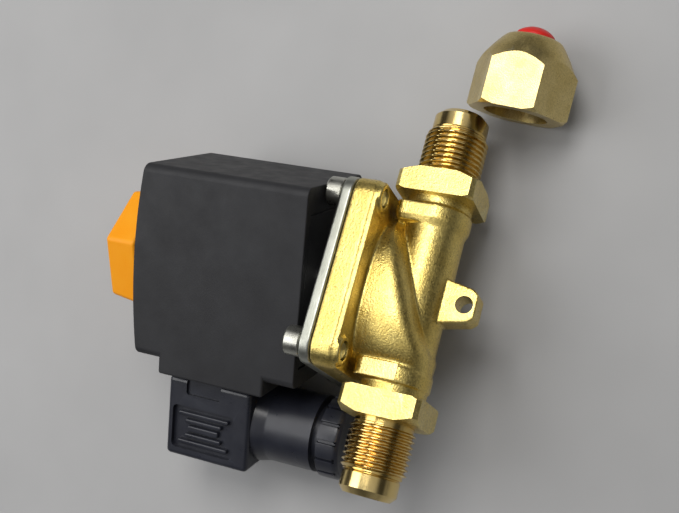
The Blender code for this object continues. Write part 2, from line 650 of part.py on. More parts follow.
# ---- cable gland ------------------------------------------------------------------------------
gland_frame = shift(x=GLAND_X)
add("gland_grommet", tube(SPOUT_BORE_R - GAP, CABLE_HOLE_R, 20.2 * MM, 30.0 * MM), coil, rubber,
    gland_frame)
add("gland_washer", tube(9.3 * MM, 5.0 * MM, 18.0 * MM, 18.9 * MM), coil, tinned, gland_frame)
nut_profile = [
    (GLAND_NUT_R, GLAND_NUT_TOP), (GLAND_NUT_R, 18.6 * MM), (12.0 * MM, 17.6 * MM),
    (11.6 * MM, 16.2 * MM), (10.8 * MM, GLAND_NUT_LOW), (5.6 * MM, GLAND_NUT_LOW),
    (5.6 * MM, 17.7 * MM), (10.0 * MM, 17.7 * MM), (10.0 * MM, GLAND_NUT_TOP)]
gland_nut = add("gland_nut", turned(nut_profile, FINE, ring=True), coil, plug_black, gland_frame)
groove = block((GLAND_NUT_R - 1.1 * MM, -0.55 * MM, 18.6 * MM),
               (GLAND_NUT_R + MM, 0.55 * MM, GLAND_NUT_TOP + MM))
grooves = together([(groove, Matrix.Rotation(2 * math.pi * i / 14, 4, "Z")) for i in range(14)])
cut(gland_nut, grooves, gland_frame)

# ---- loose flare nut with its dust plug -------------------------------------------------------
nut_outline = turned([
    (0, NUT_LENGTH), (7.9 * MM, NUT_LENGTH), (8.8 * MM, NUT_LENGTH - 0.5 * MM), (10.6 * MM, 20.6 * MM),
    (12.2 * MM, 18.2 * MM), (13.6 * MM, 15.8 * MM), (15.8 * MM, NUT_HEX_LEN), (15.8 * MM, 1.2 * MM),
    (14.2 * MM, 0), (0, 0)], FINE)
nut_bore = turned([
    (0, NUT_LENGTH + MM), (6.5 * MM, NUT_LENGTH + MM), (6.5 * MM, 18.6 * MM), (9.6 * MM, 14.2 * MM),
    (9.6 * MM, -MM), (0, -MM)], FINE)
flare_nut = add("flare_nut", prism(polygon(6, NUT_ACROSS), 0, NUT_LENGTH), nut_axis, brass)
keep(flare_nut, nut_outline)
cut(flare_nut, nut_bore)
smooth(flare_nut.data)
add("dust_plug", turned([
    (0, NUT_LENGTH + 3.5 * MM), (2.6 * MM, NUT_LENGTH + 3.3 * MM), (4.6 * MM, NUT_LENGTH + 2.5 * MM),
    (5.9 * MM, NUT_LENGTH + 1.0 * MM), (6.1 * MM, NUT_LENGTH - 1.0 * MM),
    (6.1 * MM, NUT_LENGTH - 4.4 * MM), (5.6 * MM, NUT_LENGTH - 5.4 * MM), (0, NUT_LENGTH - 5.4 * MM)],
    ROUND), nut_axis, plug_red)
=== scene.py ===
"""Looks of a solenoid valve that lies on a bench beside its loose flare nut."""
import json
import math

import bmesh
import bpy
import numpy as np
from mathutils import Matrix, Vector


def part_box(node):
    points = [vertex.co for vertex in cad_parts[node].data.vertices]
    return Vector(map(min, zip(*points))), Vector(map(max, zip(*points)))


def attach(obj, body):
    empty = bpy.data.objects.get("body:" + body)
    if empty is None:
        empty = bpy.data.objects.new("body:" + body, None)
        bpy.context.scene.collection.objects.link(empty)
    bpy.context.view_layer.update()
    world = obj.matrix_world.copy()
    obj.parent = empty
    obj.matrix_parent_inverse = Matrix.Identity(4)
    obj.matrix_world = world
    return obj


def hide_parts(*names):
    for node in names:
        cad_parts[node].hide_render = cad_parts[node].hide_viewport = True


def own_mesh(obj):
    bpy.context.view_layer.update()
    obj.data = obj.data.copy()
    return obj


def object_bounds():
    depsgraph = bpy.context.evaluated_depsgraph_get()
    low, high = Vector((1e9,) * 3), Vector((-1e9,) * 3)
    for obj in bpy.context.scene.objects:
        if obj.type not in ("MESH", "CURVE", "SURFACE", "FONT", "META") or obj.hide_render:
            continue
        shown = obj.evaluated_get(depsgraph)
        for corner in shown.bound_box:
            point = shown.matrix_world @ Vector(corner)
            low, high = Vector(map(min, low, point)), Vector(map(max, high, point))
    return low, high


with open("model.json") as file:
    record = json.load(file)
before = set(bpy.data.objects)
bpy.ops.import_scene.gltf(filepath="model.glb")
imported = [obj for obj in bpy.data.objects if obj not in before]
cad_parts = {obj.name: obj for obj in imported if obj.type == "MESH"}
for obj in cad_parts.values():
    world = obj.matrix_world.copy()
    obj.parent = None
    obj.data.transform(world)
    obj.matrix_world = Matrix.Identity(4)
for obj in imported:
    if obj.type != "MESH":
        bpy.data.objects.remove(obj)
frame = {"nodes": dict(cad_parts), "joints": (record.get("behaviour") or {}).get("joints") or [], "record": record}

MM = 0.001
cad_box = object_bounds()

# ---- frames of the moving groups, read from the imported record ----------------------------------
joints = {joint["name"]: joint for joint in frame["joints"]}
mounts = {mount["name"]: mount for mount in frame["record"]["mounts"]}


def frame_at(origin, z_axis, x_axis):
    """Matrix of a right-handed frame with the given origin, Z and X directions."""
    z = Vector(z_axis).normalized()
    x = Vector(x_axis).normalized()
    y = z.cross(x)
    turn = Matrix((x, y, z)).transposed().to_4x4()
    return Matrix.Translation(origin) @ turn


def lowest_along(node, axis):
    """Smallest distance along an axis that a CAD node reaches."""
    return min(vertex.co.dot(axis) for vertex in frame["nodes"][node].data.vertices)


swivel = joints["coil_swivel"]
VALVE = frame_at(swivel["pos_m"], swivel["axis"], mounts["outlet_port"]["axis"])
COIL = frame_at(swivel["pos_m"], swivel["axis"], -Vector(joints["connector_pull"]["axis"]))
gland_point = COIL.inverted() @ Vector(joints["gland_turn"]["pos_m"])
GLAND = COIL @ Matrix.Translation((gland_point.x, 0, 0))

nut_axis = Vector(joints["nut_slide"]["axis"]).normalized()
plug_low, plug_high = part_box("dust_plug")
plug_middle = (plug_low + plug_high) / 2
to_open_end = lowest_along("flare_nut", nut_axis) - plug_middle.dot(nut_axis)
NUT = frame_at(plug_middle + nut_axis * to_open_end, nut_axis, (0, 0, -1))

# ---- driving dimensions, the same as the solids' -----------------------------------------------
THREAD_R = 9.525 * MM
THREAD_START = 38.0 * MM
THREAD_END = 51.5 * MM
NOSE_R = 8.34 * MM
NOSE_END = 56.4 * MM
TIP_R = 6.8 * MM
TIP_END = 58.0 * MM
BORE_R = 5.6 * MM
PIPE_REACH = 70.0 * MM
PIPE_R = 9.4 * MM
NECK_R = 9.7 * MM
COLLAR_IN = 29.2 * MM
COLLAR_OUT = 36.7 * MM
COLLAR_HALF = 11.75 * MM
COLLAR_CORNER = 1.6 * MM
FLATS_IN = 20.5 * MM
FLATS_OUT = 26.3 * MM
FLATS_HALF = 10.3 * MM
CHAMBER_HALF_Y = 15.2 * MM
CHAMBER_OUTLET_X = 22.3 * MM
CHAMBER_INLET_X = 24.5 * MM
CHAMBER_TOP = 13.0 * MM
CHAMBER_EDGE_Z = 1.25 * MM
CHAMBER_EDGE_LOW = -5.6 * MM
CHAMBER_RISE = 0.40
CHAMBER_KEEL = 4.3 * MM
CHAMBER_SQUARENESS = 8.0
FLANGE_HALF_X = 27.8 * MM
FLANGE_HALF_Y = 23.5 * MM
FLANGE_CORNER = 6.0 * MM
FLANGE_LOW = 11.5 * MM
FLANGE_TOP = 19.0 * MM
RECESS_R = 17.4 * MM
RECESS_FLOOR = 13.5 * MM
COVER_LOW = 19.3 * MM
COVER_TOP = 22.6 * MM
SCREW_X = 22.4 * MM
SCREW_Y = 19.0 * MM
HEAD_R = 4.25 * MM
HEAD_LOW = 22.7 * MM
HEAD_TOP = 27.6 * MM
SHANK_R = 2.5 * MM
SOCKET_ACROSS = 4.0 * MM
SOCKET_DEPTH = 2.6 * MM
BOSS_LOW = 10.6 * MM
BOSS_R = 4.0 * MM
BOSS_HOLE_R = 2.8 * MM
LUG_HALF_THICK = 4.2 * MM
LUG_OUTLINE = ((-7.6, -4.0), (-4.9, -17.0), (-3.4, -18.6), (3.4, -18.6), (4.9, -17.0), (7.6, -4.0))
LUG_HOLE_R = 2.6 * MM
LUG_HOLE_Z = -15.0 * MM

ARMATURE_SPRING_LOW = 33.8 * MM
ARMATURE_SPRING_TOP = 48.2 * MM
DIAPHRAGM_SPRING_LOW = 16.9 * MM
DIAPHRAGM_SPRING_TOP = 21.1 * MM
SHEET_R = 20.2 * MM
SHEET_HOLE_R = 8.4 * MM
SHEET_RIM = 18.7 * MM

COIL_X0 = -28.5 * MM
COIL_X1 = 30.8 * MM
COIL_HALF_Y = 20.3 * MM
COIL_LOW = 28.0 * MM
COIL_EDGE_TOP = 81.4 * MM
COIL_CROWN = 83.8 * MM
COIL_CORNER = 2.6 * MM
COIL_HOLLOW = (23.0 * MM, 17.5 * MM)
COIL_HOLLOW_TOP = 76.6 * MM
COIL_BORE_R = 7.3 * MM
BASE_X = -33.0 * MM
BASE_LOW = 37.8 * MM
BASE_TOP = 73.4 * MM
BASE_HIGH_Y = 17.0 * MM
BASE_OVERLAP = 4.0 * MM
PLUG_X0 = -61.3 * MM
PLUG_X1 = -35.1 * MM
PLUG_HALF_Y = 14.1 * MM
PLUG_LOW = 44.2 * MM
PLUG_TOP = 73.0 * MM
GLAND_R = 11.9 * MM
NECK_END = 25.1 * MM
SPOUT_R = 9.6 * MM
SPOUT_END = 19.2 * MM
SPOUT_BORE_R = 8.6 * MM
GLAND_NUT_R = 12.6 * MM
GLAND_NUT_LOW = 15.6 * MM
GLAND_NUT_BORE_R = 10.0 * MM
GLAND_NUT_FLOOR = 17.7 * MM
GLAND_NUT_HOLE_R = 5.6 * MM
TIE_Z = 58.6 * MM
TIE_R = 1.9 * MM
TIE_HEAD_R = 3.4 * MM

CAP_LOW = 84.4 * MM
CAP_TOP = 95.6 * MM
CAP_ACROSS = 36.0 * MM
CAP_TURN = math.radians(17.0)
CAP_TAPER = 0.92
CAP_SEAL_R = 12.0 * MM
CAP_SEAL_TOP = 85.8 * MM
CAP_HOLE_R = 4.3 * MM
CAP_HOLE_TOP = 94.0 * MM
NUT_ACROSS = 27.0 * MM
NUT_HEX_LEN = 13.2 * MM
NUT_LENGTH = 23.2 * MM
NUT_TURNED_R = 15.8 * MM
NUT_BORE_R = 9.6 * MM
NUT_NECK_BORE_R = 6.5 * MM
DUST_PLUG_HEAD = 3.5 * MM

# ---- sizes that differ from the solids', and detail that only the looks have ---------------------
THREAD_PITCH = 25.4 / 16 * MM
THREAD_DEPTH = 0.98 * MM
THREAD_CREST = 1.25
THREAD_FLANK = 3.1
THREAD_FADE_IN = 0.9 * MM
THREAD_FADE_OUT = 1.1 * MM
RELIEF_R = 8.6 * MM
SEAT_WIDTH = 0.5 * MM
BORE_START = 30.0 * MM
COLLAR_TURNED_R = 15.7 * MM
COLLAR_OUTER_FACE_R = 12.9 * MM
COLLAR_INNER_FACE_R = 14.7 * MM
WAIST_CORNER = 2.2 * MM
WAIST_STEPS = ((FLATS_IN, 0.94), (FLATS_IN + 0.8 * MM, 0.97), (FLATS_IN + 1.6 * MM, 1.0))
LAND_IN = 21.3 * MM
LAND_OUT = 26.0 * MM
LAND_LOW = -2.6 * MM
LAND_HIGH = 7.9 * MM
LAND_HEIGHT = 0.04 * MM
FLANGE_LIP = 13.0 * MM
FLANGE_STEP = 0.35 * MM
FORGING_VOXEL = 0.36 * MM
FORGING_PASSES = 5
COVER_BORE_R = 6.9 * MM
SCREW_TIP = 10.9 * MM
GLAND_NUT_TOP = 22.6 * MM
GRIP_PADS = 14
GRIP_GROOVE = (1.25 * MM, 0.55 * MM)
GRIP_START = 16.6 * MM
PANEL_MIDDLE = (-51.3 * MM, 60.2 * MM)
PANEL_HALF = (7.1 * MM, 10.8 * MM)
PANEL_DEPTH = 1.5 * MM
PANEL_RIBS = (
    (-46.7 * MM, 0.7 * MM, 8.8 * MM), (-49.0 * MM, 0.7 * MM, 6.4 * MM),
    (-51.4 * MM, 1.0 * MM, 5.4 * MM), (-53.8 * MM, 0.7 * MM, 6.4 * MM),
    (-56.1 * MM, 0.7 * MM, 8.8 * MM),
)
NOTCH_MIDDLE = (-37.6 * MM, 60.5 * MM)
NOTCH_HALF = (2.6 * MM, 6.0 * MM)
NOTCH_DEPTH = 0.9 * MM

SCREW_PLACES = [(x, y) for x in (SCREW_X, -SCREW_X) for y in (SCREW_Y, -SCREW_Y)]
ON_SIDE = Matrix.Rotation(math.pi / 2, 4, "X")
END_NAMES = {1: "outlet", -1: "inlet"}

# ---- camera, floor and light -------------------------------------------------------------------
CAMERA_FROM_PIPE = (0.00642, -0.08176, 0.27930)
CAMERA_RIGHT = (0.1803, -0.9180, -0.3533)
CAMERA_UP = (0.9836, 0.1661, 0.0702)
CAMERA_LENS = 52.95
CAMERA_SENSOR = 36.0
FLOOR_HALF = 3.0
FLOOR_GAP = 0.1 * MM
SKY_UP = (0.15, 0.05, 0.99)
SKY_STRENGTH = 0.8
SKY_STOPS = (
    (0.03, (0.24, 0.24, 0.245)), (0.22, (0.055, 0.055, 0.057)),
    (0.48, (0.055, 0.055, 0.057)), (0.78, (0.58, 0.58, 0.59)),
)
# Each light's place, target, size, power and colour
LIGHTS = {
    "key_light": ((0.28, 0.0, 0.575), (0.0, 0.0, 0.02), 0.29, 1.8, (1.0, 0.98, 0.95)),
    "side_light": ((-0.05, 0.50, 0.62), (0.0, 0.1, 0.0), 0.55, 2.9, (1.0, 1.0, 1.0)),
}


def add_camera():
    """Camera that looks down on the bench."""
    data = bpy.data.cameras.new("camera")
    data.lens = CAMERA_LENS
    data.sensor_width = CAMERA_SENSOR
    data.clip_start = 0.01
    data.clip_end = 20.0
    made = bpy.data.objects.new("camera", data)
    right = Vector(CAMERA_RIGHT).normalized()
    up = Vector(CAMERA_UP).normalized()
    turn = Matrix((right, up, right.cross(up))).transposed().to_4x4()
    made.matrix_world = Matrix.Translation(VALVE.translation + Vector(CAMERA_FROM_PIPE)) @ turn
    bpy.context.scene.collection.objects.link(made)
    bpy.context.scene.camera = made


def add_area(name, place, target, size, power, colour):
    """Square soft light that faces a target."""
    data = bpy.data.lights.new(name, "AREA")
    data.size = size
    data.energy = power
    data.color = colour
    made = bpy.data.objects.new(name, data)
    made.location = place
    made.rotation_euler = (Vector(place) - Vector(target)).to_track_quat("Z", "Y").to_euler()
    bpy.context.scene.collection.objects.link(made)


def add_floor(stuff):
    """Plain pale bench top."""
    work = bmesh.new()
    bmesh.ops.create_grid(work, x_segments=2, y_segments=2, size=FLOOR_HALF)
    mesh = bpy.data.meshes.new("floor")
    work.to_mesh(mesh)
    work.free()
    mesh.materials.append(stuff)
    made = bpy.data.objects.new("floor", mesh)
    made.location.z = cad_box[0][2] - FLOOR_GAP
    bpy.context.scene.collection.objects.link(made)


def add_world():
    """Grey surroundings: pale overhead, dark lower down and mid grey at the horizon."""
    world = bpy.data.worlds.new("surroundings")
    world.use_nodes = True
    nodes = world.node_tree.nodes
    links = world.node_tree.links
    coordinates = nodes.new("ShaderNodeTexCoord")
    height = nodes.new("ShaderNodeVectorMath")
    height.operation = "DOT_PRODUCT"
    height.inputs[1].default_value = SKY_UP
    ramp = nodes.new("ShaderNodeValToRGB")
    ramp.color_ramp.interpolation = "EASE"
    stops = ramp.color_ramp.elements
    for position, _ in SKY_STOPS[1:-1]:
        stops.new(position)
    for stop, (position, grey) in zip(stops, SKY_STOPS):
        stop.position = position
        stop.color = (*grey, 1.0)
    links.new(coordinates.outputs["Generated"], height.inputs[0])
    links.new(height.outputs["Value"], ramp.inputs[0])
    links.new(ramp.outputs[0], nodes["Background"].inputs["Color"])
    nodes["Background"].inputs["Strength"].default_value = SKY_STRENGTH
    bpy.context.scene.world = world


# ---- materials ---------------------------------------------------------------------------------
PATCH_SIZE = 7 * MM
SMEAR_SIZE = 3 * MM
STREAK_SIZE = 0.4 * MM
CLOUD_SIZE = 12 * MM
RUB_SIZE = 5 * MM
SPECK_SIZE = 0.9 * MM
SCRATCH_SIZE = 1.2 * MM
PIT_TINT = (0.30, 0.26, 0.18, 1.0)


def base_material(name, metallic):
    """Material with a Principled shader, object coordinates and its node helpers."""
    made = bpy.data.materials.new(name)
    made.use_nodes = True
    nodes = made.node_tree.nodes
    shader = nodes["Principled BSDF"]
    shader.inputs["Metallic"].default_value = metallic
    coordinates = nodes.new("ShaderNodeTexCoord")
    return made, nodes, made.node_tree.links, shader, coordinates.outputs["Object"]


def noise(nodes, links, place, size, detail=4.0, roughness=0.55, stretch=None):
    """Noise value between 0 and 1 whose blobs are about `size` metres wide."""
    if stretch is not None:
        mapping = nodes.new("ShaderNodeMapping")
        mapping.inputs["Scale"].default_value = stretch
        links.new(place, mapping.inputs["Vector"])
        place = mapping.outputs["Vector"]
    made = nodes.new("ShaderNodeTexNoise")
    made.inputs["Scale"].default_value = 1.0 / size
    made.inputs["Detail"].default_value = detail
    made.inputs["Roughness"].default_value = roughness
    links.new(place, made.inputs["Vector"])
    return made.outputs["Fac"]


def spread(nodes, links, value, low, high, to_low, to_high):
    """Map a value from one range to another, clamped."""
    made = nodes.new("ShaderNodeMapRange")
    made.inputs["From Min"].default_value = low
    made.inputs["From Max"].default_value = high
    made.inputs["To Min"].default_value = to_low
    made.inputs["To Max"].default_value = to_high
    links.new(value, made.inputs["Value"])
    return made.outputs["Result"]


def blend_colours(nodes, links, factor, first, second):
    """Mix two colours, or a colour and a colour socket, by a factor."""
    made = nodes.new("ShaderNodeMix")
    made.data_type = "RGBA"
    links.new(factor, made.inputs["Factor"])
    for socket, colour in ((made.inputs[6], first), (made.inputs[7], second)):
        if isinstance(colour, tuple):
            socket.default_value = (*colour, 1.0)
        else:
            links.new(colour, socket)
    return made.outputs[2]


def bump(nodes, links, heights, shader):
    """Stack bumps, each a (value, depth in metres, strength), onto the shader."""
    normal = None
    for value, depth, strength in heights:
        made = nodes.new("ShaderNodeBump")
        made.inputs["Distance"].default_value = depth
        made.inputs["Strength"].default_value = strength
        links.new(value, made.inputs["Height"])
        if normal is not None:
            links.new(normal, made.inputs["Normal"])
        normal = made.outputs["Normal"]
    links.new(normal, shader.inputs["Normal"])


def metal(name, colour, dull, roughness, grain, depth, strength, edge=None, streaks=None,
          dimples=None):
    """Metal with uneven tone, grain and brighter rubbed edges.

    Grain and depth are metres. Dimples are (size, depth, tint share) and streaks stretch a noise.
    """
    made, nodes, links, shader, place = base_material(name, 1.0)
    patches = spread(nodes, links, noise(nodes, links, place, PATCH_SIZE, 5), 0.35, 0.68, 0.0, 1.0)
    tone = blend_colours(nodes, links, patches, colour, dull)
    if edge is not None:
        pointiness = nodes.new("ShaderNodeNewGeometry").outputs["Pointiness"]
        rubbed = spread(nodes, links, pointiness, 0.515, 0.60, 0.0, 0.85)
        tone = blend_colours(nodes, links, rubbed, tone, edge)
    fine = noise(nodes, links, place, grain, 3)
    if dimples is not None:
        shaded = nodes.new("ShaderNodeMix")
        shaded.data_type = "RGBA"
        shaded.blend_type = "MULTIPLY"
        links.new(spread(nodes, links, fine, 0.32, 0.62, dimples[2], 0.0), shaded.inputs["Factor"])
        links.new(tone, shaded.inputs[6])
        shaded.inputs[7].default_value = PIT_TINT
        tone = shaded.outputs[2]
    links.new(tone, shader.inputs["Base Color"])
    smears = noise(nodes, links, place, SMEAR_SIZE, 6)
    worn = nodes.new("ShaderNodeMath")
    worn.operation = "ADD"
    links.new(spread(nodes, links, smears, 0.3, 0.7, roughness[0], roughness[1]), worn.inputs[0])
    links.new(spread(nodes, links, fine, 0.3, 0.7, -0.04, 0.04), worn.inputs[1])
    links.new(worn.outputs[0], shader.inputs["Roughness"])
    heights = [(fine, depth, strength)]
    if dimples is not None:
        heights.append((noise(nodes, links, place, dimples[0], 2), dimples[1], 0.9))
    if streaks is not None:
        lines = noise(nodes, links, place, STREAK_SIZE, 2, 0.5, streaks)
        heights.append((lines, 0.012 * MM, 0.5))
    bump(nodes, links, heights, shader)
    return made


def plastic(name, colour, worn_colour, roughness, grain=0.35 * MM, depth=0.02 * MM, shine=0.5):
    """Moulded plastic with fine grain, faint rub marks and lighter edges."""
    made, nodes, links, shader, place = base_material(name, 0.0)
    cloud = noise(nodes, links, place, CLOUD_SIZE, 6, 0.6)
    cloud = spread(nodes, links, cloud, 0.35, 0.75, 0.0, 0.6)
    tone = blend_colours(nodes, links, cloud, colour, worn_colour)
    pointiness = nodes.new("ShaderNodeNewGeometry").outputs["Pointiness"]
    rubbed = spread(nodes, links, pointiness, 0.52, 0.62, 0.0, 0.5)
    tone = blend_colours(nodes, links, rubbed, tone, worn_colour)
    specks = noise(nodes, links, place, SPECK_SIZE, 2)
    specks = spread(nodes, links, specks, 0.74, 0.80, 0.0, 0.35)
    links.new(blend_colours(nodes, links, specks, tone, worn_colour), shader.inputs["Base Color"])
    fine = noise(nodes, links, place, grain, 2)
    smears = noise(nodes, links, place, RUB_SIZE, 6, 0.6)
    links.new(spread(nodes, links, smears, 0.3, 0.7, *roughness), shader.inputs["Roughness"])
    scratches = noise(nodes, links, place, SCRATCH_SIZE, 3, 0.5, (0.12, 1.0, 1.6))
    bump(nodes, links, [(fine, depth, 0.8), (scratches, 0.01 * MM, 0.4)], shader)
    shader.inputs["Specular IOR Level"].default_value = shine
    return made


def floor_material():
    """Pale matt bench laminate."""
    made, nodes, links, shader, place = base_material("bench_top", 0.0)
    cloud = spread(nodes, links, noise(nodes, links, place, 60 * MM, 3), 0.3, 0.7, 0.0, 1.0)
    tone = blend_colours(nodes, links, cloud, (0.365, 0.365, 0.365), (0.40, 0.40, 0.40))
    links.new(tone, shader.inputs["Base Color"])
    shader.inputs["Roughness"].default_value = 0.6
    bump(nodes, links, [(noise(nodes, links, place, SPECK_SIZE, 2), 0.03 * MM, 0.5)], shader)
    return made


forged_brass = metal("forged_brass", (0.87, 0.69, 0.23), (0.78, 0.58, 0.16), (0.27, 0.38),
                     0.55 * MM, 0.12 * MM, 0.9, edge=(0.94, 0.81, 0.38),
                     dimples=(1.0 * MM, 0.05 * MM, 0.45))
faced_brass = metal("faced_brass", (0.88, 0.72, 0.27), (0.80, 0.62, 0.19), (0.30, 0.42),
                    0.55 * MM, 0.10 * MM, 0.9, edge=(0.94, 0.83, 0.42),
                    dimples=(1.0 * MM, 0.05 * MM, 0.5))
turned_brass = metal("turned_brass", (0.72, 0.52, 0.18), (0.58, 0.38, 0.10), (0.13, 0.24),
                     0.25 * MM, 0.004 * MM, 0.5, edge=(0.92, 0.76, 0.38))
nut_brass = metal("nut_brass", (0.78, 0.63, 0.28), (0.66, 0.51, 0.19), (0.28, 0.40),
                  0.45 * MM, 0.06 * MM, 0.8, edge=(0.90, 0.77, 0.42),
                  dimples=(0.9 * MM, 0.03 * MM, 0.35))
cover_steel = metal("cover_steel", (0.40, 0.41, 0.36), (0.30, 0.31, 0.26), (0.30, 0.44),
                    0.35 * MM, 0.03 * MM, 0.7, edge=(0.75, 0.75, 0.70))
screw_steel = metal("screw_steel", (0.52, 0.52, 0.47), (0.40, 0.39, 0.33), (0.24, 0.36),
                    0.25 * MM, 0.015 * MM, 0.7, edge=(0.72, 0.72, 0.66))
stainless = metal("stainless", (0.60, 0.60, 0.59), (0.53, 0.53, 0.52), (0.18, 0.28),
                  0.25 * MM, 0.008 * MM, 0.6)
zinc_steel = metal("zinc_steel", (0.55, 0.56, 0.57), (0.46, 0.47, 0.47), (0.32, 0.46),
                   0.5 * MM, 0.03 * MM, 0.7)
copper_wire = metal("copper_wire", (0.72, 0.33, 0.16), (0.55, 0.22, 0.10), (0.22, 0.34),
                    0.30 * MM, 0.05 * MM, 0.9, streaks=(0.05, 1.0, 6.0))
tinned = metal("tinned", (0.70, 0.69, 0.64), (0.62, 0.60, 0.54), (0.22, 0.32),
               0.3 * MM, 0.01 * MM, 0.6)
coil_plastic = plastic("coil_plastic", (0.020, 0.020, 0.022), (0.033, 0.034, 0.037), (0.46, 0.60),
                       0.45 * MM, 0.03 * MM, shine=0.28)
# Near-black plug plastic; the blue cast in both its greys is a painted sheen, and the rest is the plastic's own
# colour.
plug_plastic = plastic("plug_plastic", (0.012, 0.013, 0.020), (0.027, 0.030, 0.041), (0.26, 0.38),
                       0.3 * MM, 0.012 * MM, shine=0.55)
nylon = plastic("nylon", (0.74, 0.73, 0.66), (0.66, 0.64, 0.56), (0.42, 0.52))
rubber = plastic("rubber", (0.016, 0.016, 0.018), (0.030, 0.030, 0.032), (0.62, 0.76))
seal_white = plastic("seal_white", (0.78, 0.77, 0.72), (0.70, 0.68, 0.62), (0.42, 0.50))
cap_orange = plastic("cap_orange", (0.93, 0.33, 0.004), (0.95, 0.40, 0.015), (0.44, 0.56),
                     0.4 * MM, 0.015 * MM, shine=0.3)
plug_red = plastic("plug_red", (0.62, 0.014, 0.010), (0.72, 0.03, 0.02), (0.34, 0.46),
                   0.4 * MM, 0.01 * MM, shine=0.35)


# ---- mesh helpers ------------------------------------------------------------------------------
def to_mesh(work):
    """Finish a bmesh as a mesh."""
    bmesh.ops.recalc_face_normals(work, faces=work.faces)
    mesh = bpy.data.meshes.new("shape")
    work.to_mesh(mesh)
    work.free()
    return mesh


def shape(mesh):
    """Put a mesh on a helper object."""
    made = bpy.data.objects.new("shape", mesh)
    bpy.context.scene.collection.objects.link(made)
    return made


def applied(made):
    """Apply all modifiers of a helper object to its mesh."""
    graph = bpy.context.evaluated_depsgraph_get()
    mesh = bpy.data.meshes.new_from_object(made.evaluated_get(graph), depsgraph=graph)
    made.modifiers.clear()
    made.data = mesh
    return made


def combine(target, other, operation):
    """Exact Boolean of two helper objects; the second one is used up."""
    step = target.modifiers.new("boolean", "BOOLEAN")
    step.operation = operation
    step.solver = "EXACT"
    step.object = other
    applied(target)
    bpy.data.objects.remove(other, do_unlink=True)
    work = bmesh.new()
    work.from_mesh(target.data)
    bmesh.ops.remove_doubles(work, verts=work.verts, dist=0.001 * MM)
    work.to_mesh(target.data)
    work.free()
    return target


def join(target, mesh, place=Matrix()):
    """Fuse a mesh onto a helper object."""
    mesh.transform(place)
    return combine(target, shape(mesh), "UNION")


def cut(target, mesh, place=Matrix()):
    """Cut a mesh out of a helper object."""
    mesh.transform(place)
    return combine(target, shape(mesh), "DIFFERENCE")


def keep(target, mesh, place=Matrix()):
    """Keep the part of a helper object inside a mesh."""
    mesh.transform(place)
    return combine(target, shape(mesh), "INTERSECT")


def rounded(made, width, segments=3, angle=30.0):
    """Round every edge sharper than the angle."""
    step = made.modifiers.new("round", "BEVEL")
    step.width = width
    step.segments = segments
    step.limit_method = "ANGLE"
    step.angle_limit = math.radians(angle)
    step.use_clamp_overlap = True
    return applied(made)


def forged(made, voxel, passes):
    """Melt all edges together, as a forging's fillets do."""
    remesh = made.modifiers.new("remesh", "REMESH")
    remesh.mode = "VOXEL"
    remesh.voxel_size = voxel
    relax = made.modifiers.new("relax", "SMOOTH")
    relax.factor = 0.5
    relax.iterations = passes
    return applied(made)


def piece(name, made, place, body, nodes, stuff, sharp=35.0):
    """Turn a helper object into a finished piece that rides on a body."""
    made.data.transform(place)
    made.data.shade_smooth()
    made.data.set_sharp_from_angle(angle=math.radians(sharp))
    flatten = made.modifiers.new("flatten", "WEIGHTED_NORMAL")
    flatten.keep_sharp = True
    applied(made)
    made.name = name
    made.data.name = name
    made.data.materials.clear()
    made.data.materials.append(stuff)
    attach(made, body)
    if nodes:
        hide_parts(*nodes)
    return made


def along_x():
    """Frame whose Z runs along +X."""
    return Matrix.Rotation(math.pi / 2, 4, "Y")


def port_frame(side):
    """Frame of one half of the pipe, whose Z runs outwards: 1 is the outlet and -1 the inlet."""
    return VALVE @ Matrix.Rotation(0.0 if side > 0 else math.pi, 4, "Z") @ along_x()


def shift(x=0.0, y=0.0, z=0.0):
    """Frame moved without turning."""
    return Matrix.Translation((x, y, z))


def turned(profile, steps=96, ring=False):
    """Turn a profile of (radius, height) points about Z."""
    work = bmesh.new()
    verts = [work.verts.new((radius, 0, height)) for radius, height in profile]
    pairs = list(zip(verts, verts[1:]))
    if ring:
        pairs.append((verts[-1], verts[0]))
    edges = [work.edges.new(pair) for pair in pairs]
    bmesh.ops.spin(work, geom=verts + edges, axis=(0, 0, 1), cent=(0, 0, 0),
                   angle=2 * math.pi, steps=steps, use_merge=True)
    bmesh.ops.remove_doubles(work, verts=work.verts, dist=0.001 * MM)
    return to_mesh(work)


def disc(radius, z0, z1, steps=96):
    """Plain cylinder about Z."""
    return turned([(0, z1), (radius, z1), (radius, z0), (0, z0)], steps)


def prism(outline, z0, z1):
    """Straight prism over an outline."""
    work = bmesh.new()
    base = work.faces.new([work.verts.new((x, y, z0)) for x, y in outline])
    grown = bmesh.ops.extrude_face_region(work, geom=[base])["geom"]
    raised = [item for item in grown if isinstance(item, bmesh.types.BMVert)]
    bmesh.ops.translate(work, verts=raised, vec=(0, 0, z1 - z0))
    return to_mesh(work)


def skin(work, rings):
    """Faces between neighbouring closed rings of vertices."""
    for lower, upper in zip(rings, rings[1:]):
        for i, corner in enumerate(lower):
            k = (i + 1) % len(lower)
            work.faces.new((corner, lower[k], upper[k], upper[i]))


def block(low, high, round_by=0.0):
    """Box between two corners, with rounded edges."""
    work = bmesh.new()
    size = [b - a for a, b in zip(low, high)]
    middle = [(a + b) / 2 for a, b in zip(low, high)]
    bmesh.ops.create_cube(work, size=1.0,
                          matrix=Matrix.Translation(middle) @ Matrix.Diagonal((*size, 1.0)))
    if round_by:
        bmesh.ops.bevel(work, geom=work.edges[:], offset=round_by, segments=5, profile=0.5,
                        affect="EDGES")
    return to_mesh(work)


